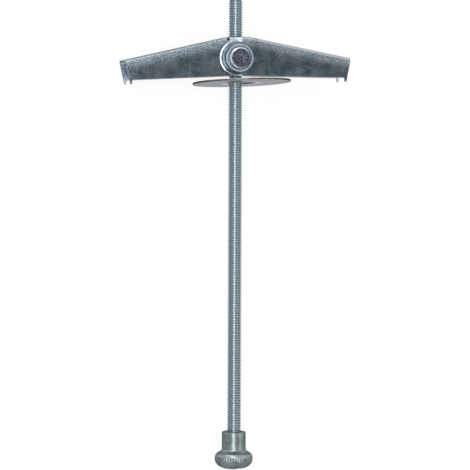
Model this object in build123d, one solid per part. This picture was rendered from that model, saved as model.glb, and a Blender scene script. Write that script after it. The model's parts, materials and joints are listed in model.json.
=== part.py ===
from build123d import *
from math import cos, pi, radians, tan
import os

# Spring toggle anchor with a full-length M4 rod, a wide washer and a knurled sleeve nut.
#
# Every piece is built in the anchor's own axes, with the wing pivot at the origin:
#   X  outwards along the right wing
#   Y  along the rod, towards its free end
#   Z  along the pivot pin, towards the front ear
# At the end the whole anchor is laid down the way it comes to rest on a flat surface.

# Rod
thread_major_d = 4.0
rod_under_size = 0.08
rod_above_pivot = 16.2
rod_end_chamfer = 0.5

# Sleeve nut on the lower end of the rod
knob_top_below_pivot = 104.35
collar_d = 6.68
collar_length = 5.1
collar_chamfer = 0.3
shoulder_height = 1.2
crown_height = 2.4
crown_bulge = 0.3
crown_lead = 0.7
dome_height = 1.75
head_d = 10.7
head_end_d = 2.8
rod_in_knob = 7.4
blind_end_gap = 0.3
knurl_count = 44
knurl_depth = 0.16
slot_width = 1.8
slot_depth = 1.0

# Cross nut whose ends are the hinge pins
pin_d = 5.9
pin_length = 12.4
pin_chamfer = 0.4

# Sheet and fits
sheet_t = 0.8
bend_inner_r = 0.3
flange_gap = 0.1
pivot_clearance = 0.06
thread_clearance = 0.04
rod_side_gap = 0.1

# Wing stamping, as a side view from the pivot
wing_length = 32.15
ear_r = 4.95
ear_overhang = 0.65
web_height = 5.9
web_flat_end = 2.8
web_slope = 10.2
web_break_r = 8.0
prong_reach = 2.9
prong_gap = 0.3
ear_under_web_gap = 0.2
rod_slot_side_gap = 0.25
tooth_width = 0.8
tooth_height = 1.1
tooth_point = 0.35
pivot_collar_inner_d = 6.75
pivot_collar_wall = 0.4
pivot_collar_height = 0.45

# How far each wing droops from square, as it hangs on its stop
right_droop = 0.6
left_droop = 2.8

# Double torsion spring
wire_d = 0.45
coil_gap = 0.08
wire_pitch_gap = 0.02
leg_reach = 11.0
leg_web_gap = 0.05
coil_sides = 12

# Washer
washer_d = 27.5
washer_hole_d = 7.8
washer_t = 0.6
washer_below_pivot = 6.7
washer_rod_gap = 0.12
washer_side_tilt = 1.6
washer_front_tilt = 3.5
washer_edge_break = 0.12

# Values that follow from the sizes above
rod_r = thread_major_d / 2 - rod_under_size / 2
knob_top_y = -knob_top_below_pivot
rod_bottom_y = knob_top_y - rod_in_knob
tapped_r = rod_r + thread_clearance
pin_r = pin_d / 2
coil_r = pin_r + coil_gap + wire_d / 2
coil_inner_z = rod_r + rod_side_gap + wire_d / 2
coil_outer_z = coil_inner_z + wire_d + wire_pitch_gap
inner_flange_z = coil_outer_z + wire_d / 2 + coil_gap
outer_flange_z = inner_flange_z + sheet_t + flange_gap
channel_front_z = outer_flange_z + sheet_t
channel_back_z = -inner_flange_z - sheet_t
bend_outer_r = bend_inner_r + sheet_t
pivot_hole_r = pin_r + pivot_clearance
washer_offset = washer_hole_d / 2 - rod_r - washer_rod_gap


def threaded_rod():
    """A bar of the thread's outer size with chamfered ends."""
    length = rod_above_pivot - rod_bottom_y
    bar = Plane(origin=(0, rod_bottom_y, 0), z_dir=(0, 1, 0)) * Cylinder(
        rod_r, length, align=(Align.CENTER, Align.CENTER, Align.MIN))
    ends = bar.edges().filter_by(GeomType.CIRCLE)
    return chamfer(ends, rod_end_chamfer)


def knob_nut():
    """A turned sleeve and domed head with a blind bore, a straight knurl and a driver slot."""
    collar_r = collar_d / 2
    head_r = head_d / 2
    crown_edge_r = head_r - crown_bulge
    shoulder_y = knob_top_y - collar_length
    crown_top_y = shoulder_y - shoulder_height
    crown_bottom_y = crown_top_y - crown_height
    end_y = crown_bottom_y - dome_height
    dome_mid = ((crown_edge_r + head_end_d / 2) / 2 + 0.21 * dome_height,
                crown_bottom_y - 0.5 * dome_height - 0.21 * (crown_edge_r - head_end_d / 2) / 2)

    outline = Polyline(
        (0, end_y), (0, knob_top_y), (collar_r - collar_chamfer, knob_top_y),
        (collar_r, knob_top_y - collar_chamfer), (collar_r, shoulder_y),
        (crown_edge_r, crown_top_y), (head_r, crown_top_y - crown_lead),
        (head_r, crown_bottom_y + crown_lead), (crown_edge_r, crown_bottom_y))
    dome = ThreePointArc((crown_edge_r, crown_bottom_y), dome_mid, (head_end_d / 2, end_y))
    end_face = Line((head_end_d / 2, end_y), (0, end_y))
    body = revolve(make_face([outline, dome, end_face]), Axis.Y)

    bore_depth = rod_in_knob + blind_end_gap
    bore = Plane(origin=(0, knob_top_y, 0), z_dir=(0, -1, 0)) * Cylinder(
        tapped_r, bore_depth, align=(Align.CENTER, Align.CENTER, Align.MIN))
    slot = Pos(0, end_y, 0) * Box(
        slot_width, slot_depth * 2, head_d, align=(Align.CENTER, Align.CENTER, Align.CENTER))

    groove_length = crown_height
    groove = Plane(origin=(0, crown_bottom_y, 0), z_dir=(0, 1, 0)) * extrude(
        knurl_groove_section(head_r), groove_length)
    grooves = [groove.rotate(Axis.Y, 360 / knurl_count * index) for index in range(knurl_count)]
    return body - bore - slot - grooves


def knurl_groove_section(head_r):
    """A V-shaped cut on the rim of the head, half as wide as the spacing of the knurl."""
    half_width = pi * head_r / knurl_count / 2
    deep = head_r - knurl_depth
    rim = head_r + knurl_depth
    rim_half_width = half_width * (rim - deep) / knurl_depth
    return make_face(Polyline((deep, 0), (rim, rim_half_width), (rim, -rim_half_width), close=True))


def trunnion_nut():
    """A round cross nut, chamfered at its ends and tapped across for the rod."""
    body = Cylinder(pin_r, pin_length)
    body = chamfer(body.edges().filter_by(GeomType.CIRCLE), pin_chamfer)
    tapped_hole = Cylinder(tapped_r, pin_d * 2, rotation=(90, 0, 0))
    return body - tapped_hole


def web_line(height):
    """The web's side view at a height: level past the rod, then falling towards the tip."""
    fall = tan(radians(web_slope))
    tip_u, tip_v = tip_corner()
    drop = web_height - height
    start = (-2 * ear_r, height)
    knee = (web_flat_end - drop * tan(radians(web_slope) / 2), height)
    end = (tip_u + ear_r, height - (tip_u + ear_r - knee[0]) * fall)
    return start, knee, end


def tip_corner():
    """The outer top corner of the wing's tip."""
    fall = tan(radians(web_slope))
    return wing_length, web_height - (wing_length - web_flat_end) * fall


def channel_section(height, floor):
    """The closed side view under the web's line at a height, down to a floor."""
    start, knee, end = web_line(height)
    outline = make_face(Polyline((start[0], floor), start, knee, end, (end[0], floor), close=True))
    corner = outline.vertices().sort_by_distance(Vector(knee[0], knee[1], 0))[0]
    return fillet(corner, web_break_r)


def side_prism(section, low_z, high_z):
    """A side view carried through from one depth to another."""
    return Pos(0, 0, low_z) * extrude(section, high_z - low_z)


def bent_channel():
    """A long piece of bent sheet: a web and two flanges with rounded bends."""
    outer = side_prism(channel_section(web_height, -2 * ear_r), channel_back_z, channel_front_z)
    outer_bends = [
        edge for edge in outer.edges().filter_by(Plane.XY)
        if edge.center().Y > 0 and abs(edge.tangent_at(0.5).Y) < 0.5]
    outer = fillet(outer_bends, bend_outer_r)
    inner = side_prism(
        channel_section(web_height - sheet_t, -3 * ear_r),
        channel_back_z + sheet_t, channel_front_z - sheet_t)
    inner_bends = [
        edge for edge in inner.edges().filter_by(Plane.XY)
        if edge.center().Y > 0 and abs(edge.tangent_at(0.5).Y) < 0.5]
    inner = fillet(inner_bends, bend_inner_r)
    return outer - inner


def flange_blank(ear_centre_u, web_start_u):
    """The side view of one flange: a round ear, the long body and a tooth at the tip."""
    slope = radians(web_slope)
    tip_u, tip_v = tip_corner()
    high = 2 * web_height
    edge_u = tip_u - (tip_v + ear_r) * tan(slope)
    tooth_u = edge_u - tooth_height * tan(slope)
    body = make_face(Polyline(
        (web_start_u, -ear_r), (edge_u - tooth_width, -ear_r),
        (tooth_u - tooth_point, -ear_r - tooth_height), (tooth_u, -ear_r - tooth_height),
        (tip_u + (high - tip_v) * tan(slope), high), (web_start_u, high), close=True))
    ear_top = web_height - sheet_t - ear_under_web_gap
    neck = make_face(Polyline(
        (ear_centre_u, -ear_r), (web_start_u + 1, -ear_r), (web_start_u + 1, ear_top),
        (ear_centre_u, min(ear_r, ear_top)), close=True))
    ear = Pos(ear_centre_u, 0) * Circle(ear_r)
    return body + neck + ear


def wing():
    """One stamped wing, drawn as the right one, with its outer ear at the front."""
    channel = bent_channel()
    clear = 2 * web_height

    prong = Pos(-prong_reach, 0) * Rectangle(
        prong_reach * 2, clear, align=(Align.MIN, Align.MIN))
    front_view = flange_blank(-ear_overhang, ear_r) + prong
    back_view = flange_blank(0, prong_reach + prong_gap)
    front_half = channel & side_prism(front_view, 0, clear)
    back_half = channel & side_prism(back_view, -clear, 0)
    blank = front_half + back_half

    slot_r = rod_r + rod_slot_side_gap
    slot_end = Cylinder(slot_r, 2 * clear, rotation=(90, 0, 0))
    slot_side = Box(2 * clear, 2 * clear, 2 * slot_r, align=(Align.MAX, Align.CENTER, Align.CENTER))
    blank = blank - slot_end - slot_side

    collar_r = pivot_collar_inner_d / 2
    collar = Pos(0, 0, channel_front_z) * (
        Cylinder(collar_r + pivot_collar_wall, pivot_collar_height,
                 align=(Align.CENTER, Align.CENTER, Align.MIN))
        - Cylinder(collar_r, pivot_collar_height, align=(Align.CENTER, Align.CENTER, Align.MIN)))
    hole = Cylinder(pivot_hole_r, 4 * channel_front_z)
    return (blank + collar) - hole


def torsion_spring():
    """One wire: a leg, a turn round the trunnion, a leg, a bail, and the same again behind."""
    front = [Vector(leg_reach, leg_height(right_droop), coil_inner_z)]
    front += coil_corners()
    front += [Vector(-leg_reach, leg_height(left_droop), coil_outer_z)]
    back = [Vector(point.X, point.Y, -point.Z) for point in reversed(front)]
    path = Polyline(*front, *back)
    section = Plane(origin=path @ 0, z_dir=path % 0) * Circle(wire_d / 2)
    return sweep(section, path, transition=Transition.RIGHT)


def coil_corners():
    """The corners of one turn, whose straight sides touch the coil's circle from outside."""
    corner_r = coil_r / cos(pi / coil_sides)
    pitch = coil_outer_z - coil_inner_z
    corners = []
    for index in range(coil_sides):
        angle = 90 + (index + 0.5) * 360 / coil_sides
        height = coil_inner_z + pitch * index / (coil_sides - 1)
        corners.append(Vector(corner_r, 0, height).rotate(Axis.Z, angle))
    return corners


def leg_height(droop):
    """How high a leg's foot lies, just under the sloping web of its wing."""
    slope = radians(web_slope + droop)
    knee = Vector(web_flat_end, web_height - sheet_t, 0).rotate(Axis.Z, -droop)
    under_web = knee.Y - (leg_reach - knee.X) * tan(slope)
    return under_web - (leg_web_gap + wire_d / 2) / cos(slope)


def large_washer():
    """A thin flat ring, tilted and pushed aside by its wide hole, as it hangs on the rod."""
    ring = Cylinder(washer_d / 2, washer_t) - Cylinder(washer_hole_d / 2, washer_t)
    ring = chamfer(ring.edges().filter_by(GeomType.CIRCLE), washer_edge_break)
    return washer_place() * ring


def washer_place():
    """The washer's middle and the way that its face looks."""
    return Location((washer_offset, -washer_below_pivot, 0)) * Rotation(0, 0, washer_side_tilt) \
        * Rotation(90 - washer_front_tilt, 0, 0)


def rim_low_point(centre, axis, radius, up):
    """The lowest point of a circle, where up is the way that counts as upwards."""
    sideways = up - axis * up.dot(axis)
    return centre - sideways.normalized() * radius


def resting_up(wing_solid):
    """The upward direction when washer, head and the left wing's tip touch one flat surface."""
    washer_plane = Plane(washer_place())
    crown_y = knob_top_y - collar_length - shoulder_height - crown_height + crown_lead
    corners = [Vector(*vertex.center()) for vertex in wing_solid.vertices()]
    up = Vector(0, 0, 1)
    for _ in range(40):
        washer_touch = rim_low_point(
            washer_plane.origin, washer_plane.z_dir, washer_d / 2, up)
        head_touch = rim_low_point(Vector(0, crown_y, 0), Vector(0, 1, 0), head_d / 2, up)
        tip_touch = min(corners, key=lambda corner: corner.dot(up))
        up = (washer_touch - head_touch).cross(tip_touch - head_touch).normalized()
    return up


os.makedirs("parts", exist_ok=True)

right_blank = wing()
left_blank = right_blank.rotate(Axis.Y, 180)
local_nodes = {
    "threaded_rod": threaded_rod(),
    "trunnion_nut": trunnion_nut(),
    "right_wing": right_blank.rotate(Axis.Z, -right_droop),
    "left_wing": left_blank.rotate(Axis.Z, left_droop),
    "torsion_spring": torsion_spring(),
    "large_washer": large_washer(),
    "knob_nut": knob_nut(),
}

up = resting_up(local_nodes["left_wing"])
rod_axis = Vector(0, 1, 0)
row_y = (rod_axis - up * rod_axis.dot(up)).normalized()
lying = Plane(origin=(0, 0, 0), x_dir=row_y.cross(up), z_dir=up).location.inverse()
box = Compound(children=[shape.moved(lying) for shape in local_nodes.values()]).bounding_box()
placing = Location((-box.center().X, -box.center().Y, -box.min.Z)) * lying

for name, shape in local_nodes.items():
    export_step(shape.moved(placing), f"parts/{name}.step")

pivot = placing * Location((0, 0, 0))
print("pivot", tuple(round(value, 5) for value in pivot.position))
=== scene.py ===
# %% [markdown]
# A spring toggle anchor: two folding sheet wings on a cross nut, a long threaded rod,
# a wide thin washer and a knurled sleeve nut. The solid model comes first and stays
# where it is. Everything that this script adds is worked out in the anchor's own
# directions, in millimetres, and then placed on the solid model.

# %% Load the solid model
import json
import math

import bpy
import numpy as np
from mathutils import Matrix


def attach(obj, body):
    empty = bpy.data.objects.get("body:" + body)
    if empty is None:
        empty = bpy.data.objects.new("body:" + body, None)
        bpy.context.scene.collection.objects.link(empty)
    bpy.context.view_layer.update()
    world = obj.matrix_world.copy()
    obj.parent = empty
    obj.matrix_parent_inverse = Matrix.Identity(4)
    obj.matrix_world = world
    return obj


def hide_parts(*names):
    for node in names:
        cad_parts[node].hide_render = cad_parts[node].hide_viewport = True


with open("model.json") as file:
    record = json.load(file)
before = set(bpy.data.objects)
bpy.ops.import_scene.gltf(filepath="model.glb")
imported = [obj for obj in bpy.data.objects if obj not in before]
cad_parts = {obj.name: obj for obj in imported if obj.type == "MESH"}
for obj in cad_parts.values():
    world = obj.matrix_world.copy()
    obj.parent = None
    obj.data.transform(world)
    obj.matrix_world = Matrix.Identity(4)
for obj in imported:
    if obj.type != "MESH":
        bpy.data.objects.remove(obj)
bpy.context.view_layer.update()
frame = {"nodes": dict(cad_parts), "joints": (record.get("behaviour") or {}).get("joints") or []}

# %% [markdown]
# The anchor lies askew on its surface, resting on the washer, the nut's head and the
# tip of one wing. Its own three directions can be read from its joints: the wings'
# pivot is the origin, y runs up the rod, z runs out of the front end of the pivot pin,
# and x follows the right wing. A point given in those directions is turned and moved
# by one matrix product, so every shape below can be drawn as if the anchor stood
# upright in front of us.

# %% The anchor's own directions
joints = {joint["name"]: joint for joint in frame["joints"]}
pivot = np.array(joints["wing_fold"]["pos_m"])
along_rod = np.array(joints["head_travel"]["axis"])
along_pin = -np.array(joints["wing_fold"]["axis"])
along_wing = np.cross(along_rod, along_pin)
own_axes = np.array([along_wing, along_rod, along_pin])


def placed(points_mm):
    """Points in the anchor's directions, in mm, times the three directions, plus the pivot."""
    return np.asarray(points_mm) @ own_axes * 0.001 + pivot


rod_slope = math.degrees(math.asin(along_rod[2]))
print("pivot", pivot.round(5), "rod leans", round(rod_slope, 2), "degrees")

# %% [markdown]
# The photograph was taken with a long lens, square to the rod and a little to the left
# of the pivot pin's end. A camera is a point, a direction to look in and an upward
# direction, so it is worked out in the anchor's directions as well. The two angles say
# where it stands, and the lean says how far the picture is tilted.

# %% Where the camera stands
side_turn = math.radians(-14.2)
upward_turn = math.radians(2.27)
lean = math.radians(0.26)
towards = np.array([
    math.sin(side_turn) * math.cos(upward_turn), math.sin(upward_turn),
    math.cos(side_turn) * math.cos(upward_turn)])
upward = np.array([0.0, 1.0, 0.0]) - towards * towards[1]
upward /= np.linalg.norm(upward)
rightward = np.cross(upward, towards)
image_right = rightward * math.cos(lean) + upward * math.sin(lean)
image_up = upward * math.cos(lean) - rightward * math.sin(lean)
print("the camera looks from", towards.round(3))

# %% [markdown]
# How far away the camera stands decides how strongly near things grow, and the lens
# then follows from the width that has to fit: sensor width times distance over picture
# width. One pixel of the photograph is 0.2794 mm at the rod, as its M4 thread shows,
# and the picture is 470 pixels wide.

# %% Camera
mm_per_pixel = 0.2794
picture_width_mm = 470 * mm_per_pixel
distance_mm = 750.0
sensor_mm = 36.0
middle_y = -49.3
shift_pixels = 0.3
target_mm = np.array([0.0, middle_y, 0.0]) + image_right * shift_pixels * mm_per_pixel


def placing_matrix(sideways, up, backwards, place_mm):
    """The matrix that turns an object's x, y and z to three of the anchor's directions."""
    matrix = np.eye(4)
    matrix[:3, :3] = np.column_stack([way @ own_axes for way in (sideways, up, backwards)])
    matrix[:3, 3] = placed(place_mm)
    return Matrix(matrix.tolist())


scene = bpy.context.scene
scene.view_settings.view_transform = "Standard"
camera_data = bpy.data.cameras.new("camera")
camera_data.sensor_width = sensor_mm
camera_data.lens = sensor_mm * distance_mm / picture_width_mm
camera_data.clip_start = 0.01
camera = bpy.data.objects.new("camera", camera_data)
bpy.context.collection.objects.link(camera)
camera.matrix_world = placing_matrix(
    image_right, image_up, towards, target_mm + towards * distance_mm)
scene.camera = camera
print("lens", round(camera_data.lens, 1), "mm, camera at", camera.matrix_world.translation)

# %% [markdown]
# Polished and plated metal shows its surroundings, so it needs a bright room more than
# it needs strong lamps. The room is plain white. A white wall would also light every
# matt surface from all sides and wash out the shadows, so the world is fully white only
# for the camera and for mirrored rays, and dimmer for scattered light.

# %% A white room
room_for_scattered_light = 0.35


def link(tree, source, target):
    """Joins one socket to another."""
    tree.links.new(source, target)


def seen_or_mirrored(tree):
    """1 where a ray comes from the camera, a mirror or glass, and 0 for scattered light."""
    path = tree.nodes.new("ShaderNodeLightPath")
    first = tree.nodes.new("ShaderNodeMath")
    first.operation = "ADD"
    second = tree.nodes.new("ShaderNodeMath")
    second.operation = "ADD"
    second.use_clamp = True
    link(tree, path.outputs["Is Camera Ray"], first.inputs[0])
    link(tree, path.outputs["Is Glossy Ray"], first.inputs[1])
    link(tree, first.outputs[0], second.inputs[0])
    link(tree, path.outputs["Is Transmission Ray"], second.inputs[1])
    return second.outputs[0]


world = bpy.data.worlds.new("white_room")
world.use_nodes = True
scene.world = world
background = world.node_tree.nodes["Background"]
background.inputs["Color"].default_value = (1.0, 1.0, 1.0, 1.0)
level = world.node_tree.nodes.new("ShaderNodeMapRange")
level.inputs["To Min"].default_value = room_for_scattered_light
level.inputs["To Max"].default_value = 1.0
link(world.node_tree, seen_or_mirrored(world.node_tree), level.inputs["Value"])
link(world.node_tree, level.outputs["Result"], background.inputs["Strength"])
print("scattered light sees a room of", room_for_scattered_light)

# %% [markdown]
# A few large soft lamps decide where the bright streaks fall on the metal: a narrow
# strip beside the camera draws the fine line down the rod, a broad one above lights the
# bends of the wings, and a weaker one stands at the right. A lamp's strength is given as
# the brightness of its face, so that it stays the same when its size is changed.

# %% Lamps
def soft_lamp(name, direction, reach_mm, size_mm, brightness, colour):
    """A rectangle reach_mm from the target, facing it. Watts = brightness x pi x area."""
    right, up, out = direction
    way = image_right * right + image_up * up + towards * out
    way = way / np.linalg.norm(way)
    wide, high = size_mm
    data = bpy.data.lights.new(name, "AREA")
    data.shape = "RECTANGLE"
    data.size = wide / 1000
    data.size_y = high / 1000
    data.energy = brightness * math.pi * wide * high / 1e6
    data.color = colour
    lamp = bpy.data.objects.new(name, data)
    bpy.context.collection.objects.link(lamp)
    side = np.cross(image_up, way)
    side /= np.linalg.norm(side)
    lamp.matrix_world = placing_matrix(side, np.cross(way, side), way, target_mm + way * reach_mm)
    print(name, "gives", round(data.energy, 2), "watts")


soft_lamp("strip_by_camera", (-0.03, 0.05, 1.0), 640, (200, 640), 7.0, (0.88, 0.94, 1.0))
soft_lamp("above", (-0.25, 0.95, 0.35), 520, (300, 200), 3.4, (1.0, 0.99, 0.97))
soft_lamp("right_side", (1.0, -0.15, 0.45), 480, (150, 260), 1.8, (0.95, 0.99, 0.97))

# %% [markdown]
# The anchor lies on a plain pale sheet, and the camera looks down on it. The sheet is
# one large square at height 0.

# %% Floor
half_floor = 1.5
floor_data = bpy.data.meshes.new("floor")
floor_data.from_pydata(
    [(-half_floor, -half_floor, 0), (half_floor, -half_floor, 0),
     (half_floor, half_floor, 0), (-half_floor, half_floor, 0)], [], [(0, 1, 2, 3)])
floor = bpy.data.objects.new("floor", floor_data)
bpy.context.collection.objects.link(floor)
print("floor", 2 * half_floor, "m across")

# %% [markdown]
# The sheet has to look white without brightening the anchor. Matt white paper alone
# comes out grey where little light falls on it, so for the camera and in mirrored rays
# it is mostly a glow, with a little matt grey that still takes a soft shadow. For
# scattered light it is ordinary matt paper.

# %% White paper
paper = bpy.data.materials.new("white_paper")
paper.use_nodes = True
tree = paper.node_tree
tree.nodes.clear()
output = tree.nodes.new("ShaderNodeOutputMaterial")
matt = tree.nodes.new("ShaderNodeBsdfDiffuse")
matt.inputs["Color"].default_value = (0.86, 0.86, 0.86, 1.0)
shadow_taker = tree.nodes.new("ShaderNodeBsdfDiffuse")
shadow_taker.inputs["Color"].default_value = (0.2, 0.2, 0.2, 1.0)
glow = tree.nodes.new("ShaderNodeEmission")
glow.inputs["Strength"].default_value = 0.85
glowing = tree.nodes.new("ShaderNodeAddShader")
paper_mix = tree.nodes.new("ShaderNodeMixShader")
link(tree, shadow_taker.outputs[0], glowing.inputs[0])
link(tree, glow.outputs[0], glowing.inputs[1])
link(tree, seen_or_mirrored(tree), paper_mix.inputs["Fac"])
link(tree, matt.outputs[0], paper_mix.inputs[1])
link(tree, glowing.outputs[0], paper_mix.inputs[2])
link(tree, paper_mix.outputs[0], output.inputs["Surface"])
floor_data.materials.append(paper)
print("material", paper.name)

# %% [markdown]
# The steel is zinc plated: bright and bluish where it is smooth, darker and mottled on
# the broad flat faces, and finely scratched from lying loose in a box. These effects
# return on every piece, so each is a node group that is built once and used in each
# material with its own values. Adding nodes by hand takes several lines for one sum, so
# a few helpers come first: each takes sockets or plain numbers and gives back a socket.

# %% Helpers for sums
def feed(tree, value, socket):
    """Links a socket, or writes a plain value."""
    if hasattr(value, "is_linked"):
        link(tree, value, socket)
    else:
        socket.default_value = value


def vector_math(tree, kind, first, second):
    """One vector difference, product or dot product."""
    node = tree.nodes.new("ShaderNodeVectorMath")
    node.operation = kind
    feed(tree, first, node.inputs[0])
    feed(tree, second, node.inputs[1])
    return node.outputs["Value"] if kind == "DOT_PRODUCT" else node.outputs["Vector"]


def number_math(tree, kind, first, second=0.0, clamp=False):
    """One sum, product or other result of two numbers."""
    node = tree.nodes.new("ShaderNodeMath")
    node.operation = kind
    node.use_clamp = clamp
    feed(tree, first, node.inputs[0])
    feed(tree, second, node.inputs[1])
    return node.outputs[0]


def product(tree, first, second, clamp=False):
    """first x second."""
    return number_math(tree, "MULTIPLY", first, second, clamp)


def length(tree, vector):
    """The length of a vector: the root of its dot product with itself."""
    return number_math(tree, "SQRT", vector_math(tree, "DOT_PRODUCT", vector, vector))


print("helpers for sums are ready")

# %% [markdown]
# Three more helpers stand for whole nodes: a noise, a ramp that cuts it off at both
# ends, and an empty node group with its inputs and outputs. A group puts out only
# values, and the material decides what to do with them.

# %% Helpers for patterns
def noise(tree, vector, scale, detail, roughness):
    """Cloudy noise from 0 to 1 at a number of patches per mm."""
    node = tree.nodes.new("ShaderNodeTexNoise")
    link(tree, vector, node.inputs["Vector"])
    feed(tree, scale, node.inputs["Scale"])
    node.inputs["Detail"].default_value = detail
    node.inputs["Roughness"].default_value = roughness
    return node.outputs["Fac"]


def ramp(tree, value, start, end, top=1.0):
    """0 below start, top above end, and a straight rise between."""
    node = tree.nodes.new("ShaderNodeValToRGB")
    for element, place, shade in zip(node.color_ramp.elements, (start, end), (0.0, top)):
        element.position = place
        element.color = (shade, shade, shade, 1.0)
    link(tree, value, node.inputs["Fac"])
    return node.outputs["Color"]


def node_group(name, numbers, outputs):
    """An empty shader group with a Vector input, number inputs and the named outputs."""
    group = bpy.data.node_groups.new(name, "ShaderNodeTree")
    group.interface.new_socket("Vector", in_out="INPUT", socket_type="NodeSocketVector")
    for label, value in numbers.items():
        socket = group.interface.new_socket(label, in_out="INPUT", socket_type="NodeSocketFloat")
        socket.default_value = value
    for label, kind in outputs.items():
        group.interface.new_socket(label, in_out="OUTPUT", socket_type=kind)
    given = group.nodes.new("NodeGroupInput").outputs
    result = group.nodes.new("NodeGroupOutput").inputs
    return group, given, result


print("helpers for patterns are ready")

# %% [markdown]
# The first group turns the place on the object into the anchor's own directions in mm:
# it takes the pivot away and measures what is left along each of the three directions.
# Streaks can then run along the wings and rings round the rod, however the anchor lies.

# %% Own place in mm
own_place, given, result = node_group("own_place_mm", {}, {"Vector": "NodeSocketVector"})
from_pivot = vector_math(own_place, "SUBTRACT", given["Vector"], tuple(pivot))
join = own_place.nodes.new("ShaderNodeCombineXYZ")
for index, direction in enumerate(own_axes * 1000):
    along = vector_math(own_place, "DOT_PRODUCT", from_pivot, tuple(direction))
    link(own_place, along, join.inputs[index])
link(own_place, join.outputs[0], result["Vector"])
print("node group", own_place.name)

# %% [markdown]
# Zinc grows in small crystals, and the bath leaves broad clouds. Two noises give both:
# a coarse one for clouds of lighter and darker metal, and a fine one for bright flecks.
# A ramp cuts each noise off at both ends, which gives it clear patches.

# %% Mottled plating
mottle, given, result = node_group(
    "plating_mottle", {"Patches": 0.5, "Grain": 6.0},
    {"Cloud": "NodeSocketFloat", "Fleck": "NodeSocketFloat"})
cloud = noise(mottle, given["Vector"], given["Patches"], 3.0, 0.6)
link(mottle, ramp(mottle, cloud, 0.36, 0.64), result["Cloud"])
fleck = noise(mottle, given["Vector"], given["Grain"], 2.0, 0.7)
link(mottle, ramp(mottle, fleck, 0.42, 0.62), result["Fleck"])
print("node group", mottle.name)

# %% [markdown]
# A scratch is long and thin. Noise that is stretched along one direction turns into
# streaks, and only its highest values are kept, so that single lines are left. Three
# directions at different angles lie over each other, the later ones fainter. The group
# gives the lines as a mask and, turned downwards, as a height.

# %% Fine scratches
scratches, given, result = node_group(
    "fine_scratches", {"Lines": 3.0, "Stretch": 0.06},
    {"Scratch": "NodeSocketFloat", "Height": "NodeSocketFloat"})
stretch = scratches.nodes.new("ShaderNodeCombineXYZ")
stretch.inputs[1].default_value = 1.0
stretch.inputs[2].default_value = 1.0
link(scratches, given["Stretch"], stretch.inputs[0])
all_lines = 0.0
for turn, strength in ((0.35, 1.0), (-0.9, 0.8), (1.5, 0.6)):
    turned = scratches.nodes.new("ShaderNodeVectorRotate")
    turned.rotation_type = "Z_AXIS"
    turned.inputs["Angle"].default_value = turn
    link(scratches, given["Vector"], turned.inputs["Vector"])
    stretched = vector_math(scratches, "MULTIPLY", turned.outputs["Vector"], stretch.outputs[0])
    streaks = noise(scratches, stretched, given["Lines"], 2.0, 0.5)
    lines = ramp(scratches, streaks, 0.655, 0.70, strength)
    all_lines = number_math(scratches, "MAXIMUM", all_lines, lines)
link(scratches, all_lines, result["Scratch"])
link(scratches, product(scratches, all_lines, -1.0), result["Height"])
print("node group", scratches.name)

# %% [markdown]
# Plating is rubbed bright along edges. The Bevel node gives the direction that the
# surface would have if its edges were rounded; where that differs from the true
# direction there is an edge. Noise breaks the line up, since no edge is worn evenly.

# %% Worn edges
worn_edge, given, result = node_group(
    "worn_edge", {"Strength": 1.0, "Radius": 0.0002}, {"Edge": "NodeSocketFloat"})
rounded = worn_edge.nodes.new("ShaderNodeBevel")
rounded.samples = 8
link(worn_edge, given["Radius"], rounded.inputs["Radius"])
geometry = worn_edge.nodes.new("ShaderNodeNewGeometry")
alike = vector_math(
    worn_edge, "DOT_PRODUCT", rounded.outputs["Normal"], geometry.outputs["Normal"])
edge_mask = product(worn_edge, number_math(worn_edge, "SUBTRACT", 1.0, alike), 6.0, clamp=True)
broken = number_math(worn_edge, "ADD", noise(worn_edge, given["Vector"], 2.2, 3.0, 0.6), 0.35)
patchy = product(worn_edge, edge_mask, broken)
link(worn_edge, product(worn_edge, patchy, given["Strength"], clamp=True), result["Edge"])
print("node group", worn_edge.name)

# %% [markdown]
# A material places a group and gives it its own numbers, and it mixes two colours by an
# amount. Both are needed many times, so each gets a helper of its own.

# %% Helpers for materials
def use_group(tree, group, vector, **values):
    """Places a node group in a material with its own values."""
    node = tree.nodes.new("ShaderNodeGroup")
    node.node_tree = group
    link(tree, vector, node.inputs["Vector"])
    for label, value in values.items():
        node.inputs[label].default_value = value
    return node.outputs


def blend(tree, amount, first, second):
    """first x (1 - amount) + second x amount; a colour is a socket or three numbers."""
    node = tree.nodes.new("ShaderNodeMix")
    node.data_type = "RGBA"
    colours = [socket for socket in node.inputs if socket.type == "RGBA"]
    feed(tree, amount, node.inputs["Factor"])
    for socket, value in zip(colours, (first, second)):
        feed(tree, (*value, 1.0) if isinstance(value, tuple) else value, socket)
    return [socket for socket in node.outputs if socket.type == "RGBA"][0]


print("helpers for materials are ready")

# %% [markdown]
# A plated finish is put together from a dark and a light tint that the clouds mix, a
# bright colour for flecks, scratches and edges, and a roughness that clouds and flecks
# raise. Bare metal shows what it mirrors through its own colour, and here it mirrors a
# white room, so the tints are about as bright as the piece looks in the photograph.
# Some pieces need tints of their own: those come from a function that may change the
# colour, the flecks and the height before the wear is laid over them.

# %% Plated finish
relief = 0.002


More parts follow.
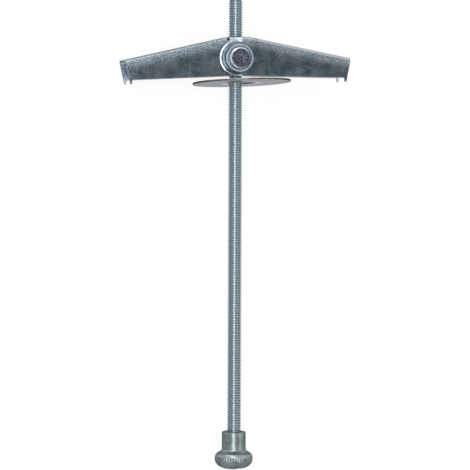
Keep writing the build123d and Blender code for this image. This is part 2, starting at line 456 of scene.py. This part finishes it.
def plated(name, dark, light, bright, patches=0.5, grain=2.2, fleck=0.16, roughness=0.2,
           wear=0.8, edge_radius=0.0002, scratch=0.25, extras=None):
    """Tints by cloud, then flecks, scratches and edges; roughness + 0.07 fleck + 0.05 cloud."""
    material = bpy.data.materials.new(name)
    material.use_nodes = True
    tree = material.node_tree
    shader = tree.nodes["Principled BSDF"]
    where = tree.nodes.new("ShaderNodeTexCoord")
    place = use_group(tree, own_place, where.outputs["Object"])["Vector"]
    clouds = use_group(tree, mottle, place, Patches=patches, Grain=grain)
    marks = use_group(tree, scratches, place)
    edges = use_group(tree, worn_edge, place, Strength=wear, Radius=edge_radius)
    colour = blend(tree, clouds["Cloud"], dark, light)
    flecks = product(tree, clouds["Fleck"], fleck)
    marks_and_flecks = number_math(tree, "ADD", marks["Height"], clouds["Fleck"])
    height = product(tree, marks_and_flecks, relief)
    if extras:
        colour, flecks, height = extras(tree, place, colour, flecks, height)
    colour = blend(tree, flecks, colour, bright)
    colour = blend(tree, product(tree, marks["Scratch"], scratch), colour, bright)
    colour = blend(tree, edges["Edge"], colour, bright)
    link(tree, colour, shader.inputs["Base Color"])
    shader.inputs["Metallic"].default_value = 1.0
    shader.inputs["Specular Tint"].default_value = (0.35, 0.38, 0.4, 1.0)
    rough = number_math(
        tree, "ADD", product(tree, clouds["Fleck"], 0.07), product(tree, clouds["Cloud"], 0.05))
    link(tree, number_math(tree, "ADD", rough, roughness), shader.inputs["Roughness"])
    bump = tree.nodes.new("ShaderNodeBump")
    bump.inputs["Distance"].default_value = 0.001
    bump.inputs["Strength"].default_value = 1.0
    link(tree, height, bump.inputs["Height"])
    link(tree, bump.outputs["Normal"], shader.inputs["Normal"])
    print("finish", name)
    return material

# %% [markdown]
# A tint that belongs to one part of a piece needs a mask: a number from 0 to 1 that
# says how much of it lies at each place. All masks here are smooth steps over a
# distance, such as the distance from the pin or from the rod's middle. Two masks
# multiplied leave only what both of them hold.

# %% Masks and tints
across_pin = (1.0, 1.0, 0.0)
across_rod = (1.0, 0.0, 1.0)


def remap(tree, value, low, high):
    """0 at low, 1 at high, and a smooth step between."""
    node = tree.nodes.new("ShaderNodeMapRange")
    node.interpolation_type = "SMOOTHSTEP"
    node.inputs["From Min"].default_value = low
    node.inputs["From Max"].default_value = high
    link(tree, value, node.inputs["Value"])
    return node.outputs["Result"]


def parts_of(tree, place):
    """The x, y and z of a place."""
    node = tree.nodes.new("ShaderNodeSeparateXYZ")
    link(tree, place, node.inputs[0])
    return node.outputs


def from_line(tree, place, across, x_middle=0.0):
    """The distance in mm from a line: the length of place x across - (x_middle, 0, 0)."""
    flat = vector_math(tree, "MULTIPLY", place, across)
    return length(tree, vector_math(tree, "SUBTRACT", flat, (x_middle, 0.0, 0.0)))


def tint(tree, colour, mask, strength, new_colour):
    """colour x (1 - mask x strength) + new colour x mask x strength."""
    return blend(tree, product(tree, mask, strength), colour, new_colour)


print("masks by distance are ready")

# %% [markdown]
# A wing is stamped from sheet and bent to a channel, with its web on top. Along the
# bend a painted highlight stands in for the light that the bend catches, and the flanges
# are lighter near the web and darker towards their open edges. Both depend on how far a
# place lies below the web, which runs level over the rod and then falls towards the tip.

# %% The wing's web and bend
web_height = 5.9
level_reach = 2.8
web_fall = 10.2


def below_the_web(tree, x, y, slope):
    """web height - slope x (how far |x| goes past the level reach) - y, in mm."""
    outward = number_math(tree, "SUBTRACT", number_math(tree, "ABSOLUTE", x), level_reach)
    fall = product(tree, number_math(tree, "MAXIMUM", outward, 0.0), slope)
    return number_math(tree, "SUBTRACT", number_math(tree, "SUBTRACT", web_height, fall), y)


def web_tone_and_painted_bend_highlight(tree, colour, flecks, below_web, bend_highlight_tint, bend_highlight_strength):
    """Lighter and more flecked near the web, and a painted highlight along the bend."""
    near = remap(tree, below_web, 3.6, 0.8)
    # bend: where the painted highlight along the bend falls
    bend = remap(tree, below_web, 0.95, 0.55)
    colour = tint(tree, colour, near, 0.16, (0.30, 0.37, 0.41))
    colour = tint(tree, colour, bend, bend_highlight_strength, bend_highlight_tint)
    more_flecks = number_math(tree, "ADD", product(tree, near, 3.2), 0.3)
    return colour, product(tree, more_flecks, flecks, clamp=True)


print("the web stands", web_height, "mm above the pin")

# %% [markdown]
# The round ear falls away a little towards its rim, which draws a bright crescent there.
# Only the light shows it, so it goes into the height that the bump uses and not into
# the mesh, and a painted highlight lies along the rim. The ear's pivot hole has a
# pressed-up collar whose lip gets a painted highlight, and painted shade darkens the
# narrow gap round the pin. Painted light makes the faces inside the channel pale, for the
# light that bounces between the flanges.

# %% The wing's ear, inside and collar
ear_shift = 0.65


def rounded_ear(tree, colour, height, place, x, side):
    """height - 0.46 x a step from 3.6 to 5.2 mm out, in the ear's free half; a painted rim
    highlight.
    """
    ear_ring = from_line(tree, place, across_pin, -ear_shift * side)
    free_side = remap(tree, product(tree, x, side), 1.2, -1.4)
    falling = product(tree, remap(tree, ear_ring, 3.6, 5.2), -0.46)
    height = number_math(tree, "ADD", height, product(tree, falling, free_side))
    # painted highlight along the ear's rim
    rim_highlight = product(tree, remap(tree, ear_ring, 4.5, 4.72), free_side)
    return tint(tree, colour, rim_highlight, 0.5, (0.62, 0.70, 0.78)), height


def painted_inside_light(tree, colour, below_web, depth):
    """Painted light: pale where a place lies between the two flanges and under the web."""
    # painted light standing in for light that bounces between the flanges
    inside_light = product(tree, remap(tree, depth, 4.2, 4.0), remap(tree, depth, -3.3, -3.1))
    inside_light = product(tree, inside_light, remap(tree, below_web, 0.78, 0.82))
    return tint(tree, colour, inside_light, 0.9, (0.55, 0.63, 0.71))


def collar_highlight_and_shade(tree, colour, place):
    """Painted highlight on the lip, 3.46 to 3.85 mm round the pin; painted shade inside it."""
    ring = from_line(tree, place, across_pin)
    # painted highlight on the collar's lip
    lip = product(tree, remap(tree, ring, 3.85, 3.78), remap(tree, ring, 3.46, 3.56))
    colour = tint(tree, colour, lip, 0.5, (0.55, 0.62, 0.68))
    # painted shade in the gap round the pin
    return blend(tree, remap(tree, ring, 3.56, 3.46), colour, (0.025, 0.035, 0.045))


print("the ear's middle lies", ear_shift, "mm from the pin")

# %% [markdown]
# The two wings are one stamping, used twice and turned half a turn about the rod. One
# function therefore serves both, with a side of 1 or -1 that x and z are multiplied by.
# Each wing droops a little by its own angle, and each bend has its own painted highlight.

# %% Finish of the wings
right_droop, left_droop = 0.6, 2.8


def stamped_wing(droop, side, bend_highlight_tint, bend_highlight_strength):
    """The extras of a wing on one side of the rod, whose web falls by 10.2 degrees + droop."""
    slope = math.tan(math.radians(web_fall + droop))

    def extras(tree, place, colour, flecks, height):
        """Web and bend first, then the ear, the inside and the collar over them."""
        x, y, z = parts_of(tree, place)
        below_web = below_the_web(tree, x, y, slope)
        colour, flecks = web_tone_and_painted_bend_highlight(
            tree, colour, flecks, below_web, bend_highlight_tint, bend_highlight_strength)
        colour, height = rounded_ear(tree, colour, height, place, x, side)
        colour = painted_inside_light(tree, colour, below_web, product(tree, z, side))
        return collar_highlight_and_shade(tree, colour, place), flecks, height

    return extras


sheet_colours = ((0.036, 0.055, 0.062), (0.088, 0.102, 0.118), (0.62, 0.72, 0.80))
sheet_pattern = {"patches": 0.28, "grain": 3.4, "edge_radius": 0.00030, "scratch": 0.12}
# Each wing's last two values are the tint and strength of its painted bend highlight.
right_finish = plated(
    "plated_right_wing", *sheet_colours, fleck=0.13, **sheet_pattern,
    extras=stamped_wing(right_droop, 1.0, (0.50, 0.49, 0.51), 0.85))
left_finish = plated(
    "plated_left_wing", *sheet_colours, fleck=0.15, **sheet_pattern,
    extras=stamped_wing(left_droop, -1.0, (0.24, 0.27, 0.29), 0.7))

# %% [markdown]
# The cross nut is a short round bar, tapped across for the rod, and its ends are the
# pins that the wings turn on. Its end could be cut on a lathe, with a chamfer round a
# duller face; a painted highlight makes the chamfer bright. The chamfer begins 2.54 mm
# from the middle.

# %% Finish of the cross nut
def painted_chamfer_end(tree, place, colour, flecks, height):
    """The extras of the cross nut: a painted highlight on the chamfer round its end face."""
    # painted highlight on the chamfer
    chamfer = remap(tree, from_line(tree, place, across_pin), 2.54, 2.62)
    return tint(tree, colour, chamfer, 0.9, (0.60, 0.67, 0.73)), flecks, height


nut_finish = plated(
    "plated_cross_nut", (0.018, 0.028, 0.044), (0.046, 0.044, 0.066), (0.66, 0.72, 0.80),
    patches=0.9, grain=3.0, fleck=0.14, scratch=0.22, extras=painted_chamfer_end)

# %% [markdown]
# A thread is rubbed bright on its crests and stays dull on its flanks; crests and roots
# also get a painted highlight, all by the distance from the rod's middle. In the photograph
# one unbroken bright line runs down the rod. Steep flanks would break it into dots, so
# the bump works against their slope, for the light only.

# %% Finish of the rod
crest_r, root_r = 1.97, 1.56
flank_easing = 1.3


def worn_crests_and_painted_light(tree, place, colour, flecks, height):
    """Painted highlight on crests (also wear) and roots; height - easing x max(radius, root)."""
    radius = from_line(tree, place, across_rod)
    # crests: rubbed bright by wear, and a painted highlight
    colour = tint(tree, colour, remap(tree, radius, 1.80, 1.93), 0.8, (0.29, 0.37, 0.42))
    # roots: a painted highlight
    colour = tint(tree, colour, remap(tree, radius, 1.66, 1.58), 0.7, (0.20, 0.25, 0.28))
    eased = product(tree, number_math(tree, "MAXIMUM", radius, root_r), -flank_easing)
    return colour, flecks, number_math(tree, "ADD", height, eased)


rod_finish = plated(
    "plated_rod", (0.045, 0.062, 0.068), (0.075, 0.095, 0.10), (0.45, 0.52, 0.55),
    patches=0.4, fleck=0.08, scratch=0.05, wear=0.2, roughness=0.21, extras=worn_crests_and_painted_light)

# %% [markdown]
# The sleeve nut is duller than the rod, with two narrow bands of painted highlight: one at
# the foot of the sleeve and one on the brow over the knurl. Their places are heights,
# measured from the sleeve's top, so the height of that top comes first.

# %% Finish of the sleeve nut
knob_top = -104.35


def painted_shoulder_highlights(tree, place, colour, flecks, height):
    """The extras of the sleeve nut: painted highlights at the sleeve's foot and above the knurl.
    """
    y = number_math(tree, "SUBTRACT", parts_of(tree, place)[1], knob_top)
    # painted highlight bands at the foot and on the brow
    foot = product(tree, remap(tree, y, -5.0, -5.15), remap(tree, y, -5.7, -5.5))
    brow = product(tree, remap(tree, y, -6.1, -6.25), remap(tree, y, -7.1, -6.8))
    highlight_bands = number_math(tree, "MAXIMUM", foot, brow)
    return tint(tree, colour, highlight_bands, 0.7, (0.30, 0.35, 0.37)), flecks, height


turned_finish = plated(
    "turned_nut", (0.105, 0.130, 0.125), (0.18, 0.205, 0.20), (0.62, 0.70, 0.76),
    patches=0.35, fleck=0.12, scratch=0.1, roughness=0.28, extras=painted_shoulder_highlights)

# %% [markdown]
# The washer is punched from thin sheet. Its flat face is much paler than the rest, and a
# painted highlight makes it palest near the hole; painted shade darkens the walls that the
# punch cut, at the hole and at the rim. It is loose on the rod and lies to one side, so its
# own middle is 1.82 mm to the right of the rod's.

# %% Finish of the washer
washer_middle_x = 1.82


def washer_with_painted_light(tree, place, colour, flecks, height):
    """The extras of the washer: painted highlight towards its hole, painted shade on cut walls.
    """
    radius = from_line(tree, place, across_rod, washer_middle_x)
    # painted highlight, palest near the hole
    colour = tint(tree, colour, remap(tree, radius, 6.8, 4.6), 0.9, (0.94, 0.95, 0.97))
    # painted shade on the cut walls at the hole and the rim
    shaded_cut_walls = number_math(
        tree, "MAXIMUM", remap(tree, radius, 4.02, 3.93), remap(tree, radius, 13.62, 13.70))
    return tint(tree, colour, shaded_cut_walls, 0.95, (0.03, 0.031, 0.034)), flecks, height


washer_finish = plated(
    "plated_washer", (0.50, 0.485, 0.49), (0.60, 0.58, 0.58), (0.85, 0.86, 0.88),
    patches=0.16, fleck=0.08, roughness=0.3, wear=0.3, extras=washer_with_painted_light)

# %% [markdown]
# Spring wire is drawn through a die and is evenly grey. It needs no tints of its own,
# only smaller clouds, because the wire is thin.

# %% Finish of the spring wire
wire_finish = plated(
    "spring_wire", (0.10, 0.10, 0.11), (0.16, 0.16, 0.17), (0.5, 0.5, 0.52), patches=0.8)

# %% [markdown]
# The thread, the sleeve nut, the spring and the bent sheet have one thing in common:
# each is a closed outline that is carried along a line while it changes. One function
# can mesh all of them. It takes three arrays of rows by columns, joins every point to
# its neighbours by four-sided faces, joins the last column to the first, and closes
# both ends, so that the piece is solid and has no seam.

# %% Sheets of points
def wrapped_sheet(name, x, y, z, finish):
    """A mesh from three arrays of rows by columns in mm; the last column joins the first."""
    rows, columns = x.shape
    points = placed(np.stack([x, y, z], axis=-1).reshape(-1, 3))
    corner = np.arange(rows * columns).reshape(rows, columns)
    here, there = corner[:-1], corner[1:]
    quads = np.stack(
        [here, np.roll(here, -1, axis=1), np.roll(there, -1, axis=1), there], axis=-1)
    ends = [corner[0][::-1].tolist(), corner[-1].tolist()]
    faces = quads.reshape(-1, 4).tolist() + ends
    mesh = bpy.data.meshes.new(name)
    mesh.from_pydata(points.tolist(), [], faces)
    mesh.polygons.foreach_set("use_smooth", np.ones(len(faces), dtype=bool))
    mesh.materials.append(finish)
    mesh.update()
    piece = bpy.data.objects.new(name, mesh)
    bpy.context.collection.objects.link(piece)
    print(name, rows, "x", columns, "points")
    return piece


# %% [markdown]
# The rod is threaded over its whole length, and the solid model has only a smooth bar.
# A thread is a groove that winds round a cylinder, so it could be a screw modifier or a
# swept cut. Here it is one sheet of points wrapped round the rod: every point has a
# height along the rod and an angle round it, and its radius depends only on how far it
# is from the nearest crest, which climbs by one pitch with each turn.

# %% The thread
pitch = 0.7
half_crest, flank = 0.22, 0.46
rod_low, rod_high = -111.75, 16.2
end_chamfer = 0.5
rows_per_turn, columns = 12, 40
height = np.arange(rod_low, rod_high + 1e-6, pitch / rows_per_turn)
height = np.append(height, rod_high)
angle = np.linspace(0.0, 2 * np.pi, columns, endpoint=False)
height, angle = np.meshgrid(height, angle, indexing="ij")
phase = height / pitch - angle / (2 * np.pi)
from_crest = np.abs(phase - np.round(phase)) * 2
groove = np.clip((from_crest - half_crest) / flank, 0.0, 1.0)
radius = crest_r - (crest_r - root_r) * groove
from_end = np.minimum(height - rod_low, rod_high - height)
radius = np.minimum(radius, crest_r - end_chamfer + from_end)
thread = wrapped_sheet(
    "thread", radius * np.sin(angle), height, radius * np.cos(angle), rod_finish)
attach(thread, "rod")
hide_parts("threaded_rod")

# %% [markdown]
# The sleeve nut is turned from bar: a plain sleeve, a sloping shoulder, a knurled crown
# and a domed end with a slot for a driver. Its side view, carried round the rod, is the
# whole shape. The view is a list of radius and height, from the bottom of the bore, over
# the sleeve's top and down the outside to the middle of the dome. It is cut into even
# steps, so that knurl and slot have points to move, and keeps every corner of the list.

# %% Side view of the sleeve nut
side_view = np.array([
    (2.02, -7.6), (2.02, 0.0), (3.06, 0.0), (3.22, -0.06), (3.32, -0.24), (3.34, -0.4),
    (3.34, -4.95), (3.37, -5.1), (3.5, -5.28), (4.0, -5.58), (4.6, -5.97), (4.9, -6.2),
    (5.1, -6.45), (5.22, -6.75), (5.29, -7.1), (5.33, -7.5), (5.29, -8.1), (5.17, -8.55),
    (4.97, -8.92), (4.6, -9.36), (4.05, -9.76), (3.4, -10.08), (2.6, -10.32),
    (1.7, -10.43), (0.7, -10.45), (0.02, -10.45)])
even_step = 0.11
travelled = np.concatenate([[0.0], np.cumsum(np.hypot(*np.diff(side_view, axis=0).T))])
even = np.union1d(np.arange(0.0, travelled[-1], even_step), travelled)
profile_r = np.interp(even, travelled, side_view[:, 0])
profile_y = np.interp(even, travelled, side_view[:, 1])
print("side view of", len(even), "points,", round(travelled[-1], 2), "mm long")

# %% [markdown]
# The knurl takes a little off the radius fifty times round, only on the crown, and
# fades out above and below it. The bore reaches down to the heights of the crown, so
# the knurl is also kept to radii of more than 3 mm.

# %% The knurl
teeth = 50
knurl_depth = 0.13
columns = teeth * 6
angle = np.linspace(0, 2 * np.pi, columns, endpoint=False)
profile_r, angle = np.meshgrid(profile_r, angle, indexing="ij")
profile_y = np.repeat(profile_y[:, None], columns, axis=1)
fade_in = np.clip((profile_y + 8.75) / 0.15, 0, 1)
fade_out = np.clip((-6.75 - profile_y) / 0.3, 0, 1)
crown = fade_in * fade_out * (profile_r > 3)
valley = np.abs((angle * teeth / (2 * np.pi)) % 1.0 - 0.5) * 2
profile_r = profile_r - knurl_depth * crown * valley
print(teeth, "ridges,", knurl_depth, "mm deep")

# %% [markdown]
# The slot pushes every point over it up to the slot's floor. Points that come near the
# slot's two sides are moved onto them first, so that its edges stay straight. The slot
# is then turned, and the rows are handed over from the dome to the bore, because the
# faces of a wrapped sheet look outwards when its outer wall is listed upwards.

# %% The slot and the whole sleeve nut
half_slot, slot_floor = 0.9, -9.45
slot_turn = math.radians(24)
x = profile_r * np.sin(angle)
z = profile_r * np.cos(angle)
on_end = profile_y < -8.9
near_side = on_end & (np.abs(np.abs(x) - half_slot) < 0.07)
x = np.where(near_side, np.sign(x) * half_slot, x)
in_slot = on_end & (np.abs(x) <= half_slot)
profile_y = np.where(in_slot, np.maximum(profile_y, slot_floor), profile_y)
x, z = (x * math.cos(slot_turn) + z * math.sin(slot_turn),
        z * math.cos(slot_turn) - x * math.sin(slot_turn))
knob = wrapped_sheet(
    "sleeve_nut", x[::-1], profile_y[::-1] + knob_top, z[::-1], turned_finish)
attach(knob, "knob")
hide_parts("knob_nut")

# %% [markdown]
# A wire is a tube: a circle carried along a line. At every point of the line the circle
# needs two directions square to it. The first comes from the cross product with a fixed
# slanting direction that the line never follows, and the second from both of them.

# %% A round tube
def tube(name, line, thickness, sides, finish):
    """A round tube: line + r (cos a . n + sin a . b), with n and b square to the line."""
    along = np.gradient(line, axis=0)
    along /= np.linalg.norm(along, axis=1, keepdims=True)
    first = np.cross(along, np.array([0.31, 0.87, 0.38]))
    first /= np.linalg.norm(first, axis=1, keepdims=True)
    second = np.cross(along, first)
    turn = np.linspace(0, 2 * np.pi, sides, endpoint=False)[None, :, None]
    circle = np.cos(turn) * first[:, None] + np.sin(turn) * second[:, None]
    ring = line[:, None] + thickness / 2 * circle
    return wrapped_sheet(name, ring[..., 0], ring[..., 1], ring[..., 2], finish)


# %% [markdown]
# The spring is one wire. Each end lies under the web of the right wing, goes once round
# the cross nut and on under the web of the left wing, where a bail joins front and
# back. The solid model draws its turns with straight sides; here a round tube follows
# the true line. First come the turn, which climbs from its inner to its outer place
# along the pin, the straight leg on each side, and the corner where the bail begins.

# %% The line of the spring
wire = 0.45
coil_r = 3.255
inner, outer = 2.285, 2.755
corner_r = 0.25
turn = np.linspace(0.0, 1.0, 72)
coil = np.stack([
    -coil_r * np.sin(2 * np.pi * turn), coil_r * np.cos(2 * np.pi * turn),
    inner + (outer - inner) * turn], axis=1)
bend = np.linspace(0.0, 1.0, 8)[:, None]
right_leg = np.array([11.0, 3.2, inner]) * (1 - bend) + coil[0] * bend
left_foot = np.array([-11.0, 2.72, outer])
left_leg = coil[-1] * (1 - bend) + left_foot * bend
quarter = bend[:, 0] * np.pi / 2
corner = left_foot + np.array([0.0, 0.0, -corner_r]) + corner_r * np.stack([
    -np.sin(quarter), 0 * quarter, np.cos(quarter)], axis=1)
print("one turn of", len(coil), "points,", 2 * coil_r, "mm across")

# %% [markdown]
# When the wings fold, the legs go with them while the turns stay on the cross nut, so
# the wire is made in five lengths. Each leg carries on round the nut, inside the turn
# itself, a little further than it folds. It slides round it like the wire of a winding
# spring, and no gap opens. The back is the front with z turned round.

# %% The spring in five lengths
shared = 17
right_line = np.concatenate([right_leg[:-1], coil[:shared]])
left_line = np.concatenate([coil[-shared:], left_leg[1:-1], corner])
to_the_back = np.array([1.0, 1.0, -1.0])
print("legs carry on for", round((shared - 1) * 360 / (len(coil) - 1), 1), "degrees")
wires = [
    ("spring_front_turn", coil, "head"),
    ("spring_back_turn", coil * to_the_back, "head"),
    ("spring_front_leg", right_line, "right_wing"),
    ("spring_back_leg", right_line * to_the_back, "right_wing"),
    ("spring_bail", np.concatenate([left_line, left_line[::-1] * to_the_back]), "left_wing")]
for name, line, body in wires:
    piece = tube(name, line, wire, 14, wire_finish)
    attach(piece, body)
    if body == "head":
        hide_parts("torsion_spring")

# %% [markdown]
# Above its outer ear each wing's web runs on without a break from the tongue beside the
# rod to the long slope, while the solid model leaves a small gap there. A short length
# of the same bent section closes it. The section's outline is the web's upper face, the
# bend, the top of the outer flange, and the same way back along the inner faces.

# %% Section of the bent sheet
sheet = 0.8
flange_z = 4.76
bend_r = 1.1
web_edge_z, flange_foot = 2.23, 4.3
arc = np.linspace(0.0, np.pi / 2, 9)


def bend_line(radius):
    """A quarter circle round the bend's middle, as (height, z)."""
    return np.stack([
        web_height - bend_r + radius * np.cos(arc),
        flange_z - bend_r + radius * np.sin(arc)], axis=1)


section = np.concatenate([
    [(web_height, web_edge_z)], bend_line(bend_r),
    [(flange_foot, flange_z), (flange_foot, flange_z - sheet)],
    bend_line(bend_r - sheet)[::-1], [(web_height - sheet, web_edge_z)]])
print("section of", len(section), "corners")

# %% [markdown]
# The section is carried outwards along the wing and sinks as the web begins to fall, in
# a gentle curve at first and then along the straight slope. For the left wing it is
# turned half a turn about the rod, which turns both x and z round.

# %% The web above the outer ear
curve_start, curve_end, web_slope = 2.09, 3.51, 0.18
out = np.array([2.85, 3.0, 3.2, 3.5, 5.0])
curve = np.maximum(out - curve_start, 0) ** 2 / 16
sunk = np.where(out < curve_end, curve, (out - level_reach) * web_slope)


def web_bridge(name, droop, turned, finish, body):
    """The section from 2.85 to 5 mm out, sunk with the web, then turned with its wing."""
    x = np.repeat(out[:, None], len(section), axis=1)
    y = section[None, :, 0] - sunk[:, None]
    z = np.repeat(section[None, :, 1], len(out), axis=0)
    angle = math.radians(-droop)
    x, y = (x * math.cos(angle) - y * math.sin(angle),
            x * math.sin(angle) + y * math.cos(angle))
    if turned:
        x, z = -x, -z
    piece = wrapped_sheet(name, x, y, z, finish)
    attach(piece, body)


web_bridge("right_web_bridge", right_droop, False, right_finish, "right_wing")
web_bridge("left_web_bridge", left_droop, True, left_finish, "left_wing")

# %% [markdown]
# The wings, the cross nut and the washer are shown as the solid model has them. They
# came in with plain materials, so each gets the plated finish that was made for it.

# %% Finishes on the solid pieces
finishes = {
    "trunnion_nut": nut_finish, "right_wing": right_finish, "left_wing": left_finish,
    "large_washer": washer_finish}
for name, finish in finishes.items():
    node = frame["nodes"][name]
    node.data.materials.clear()
    node.data.materials.append(finish)
print("finishes on", list(finishes))
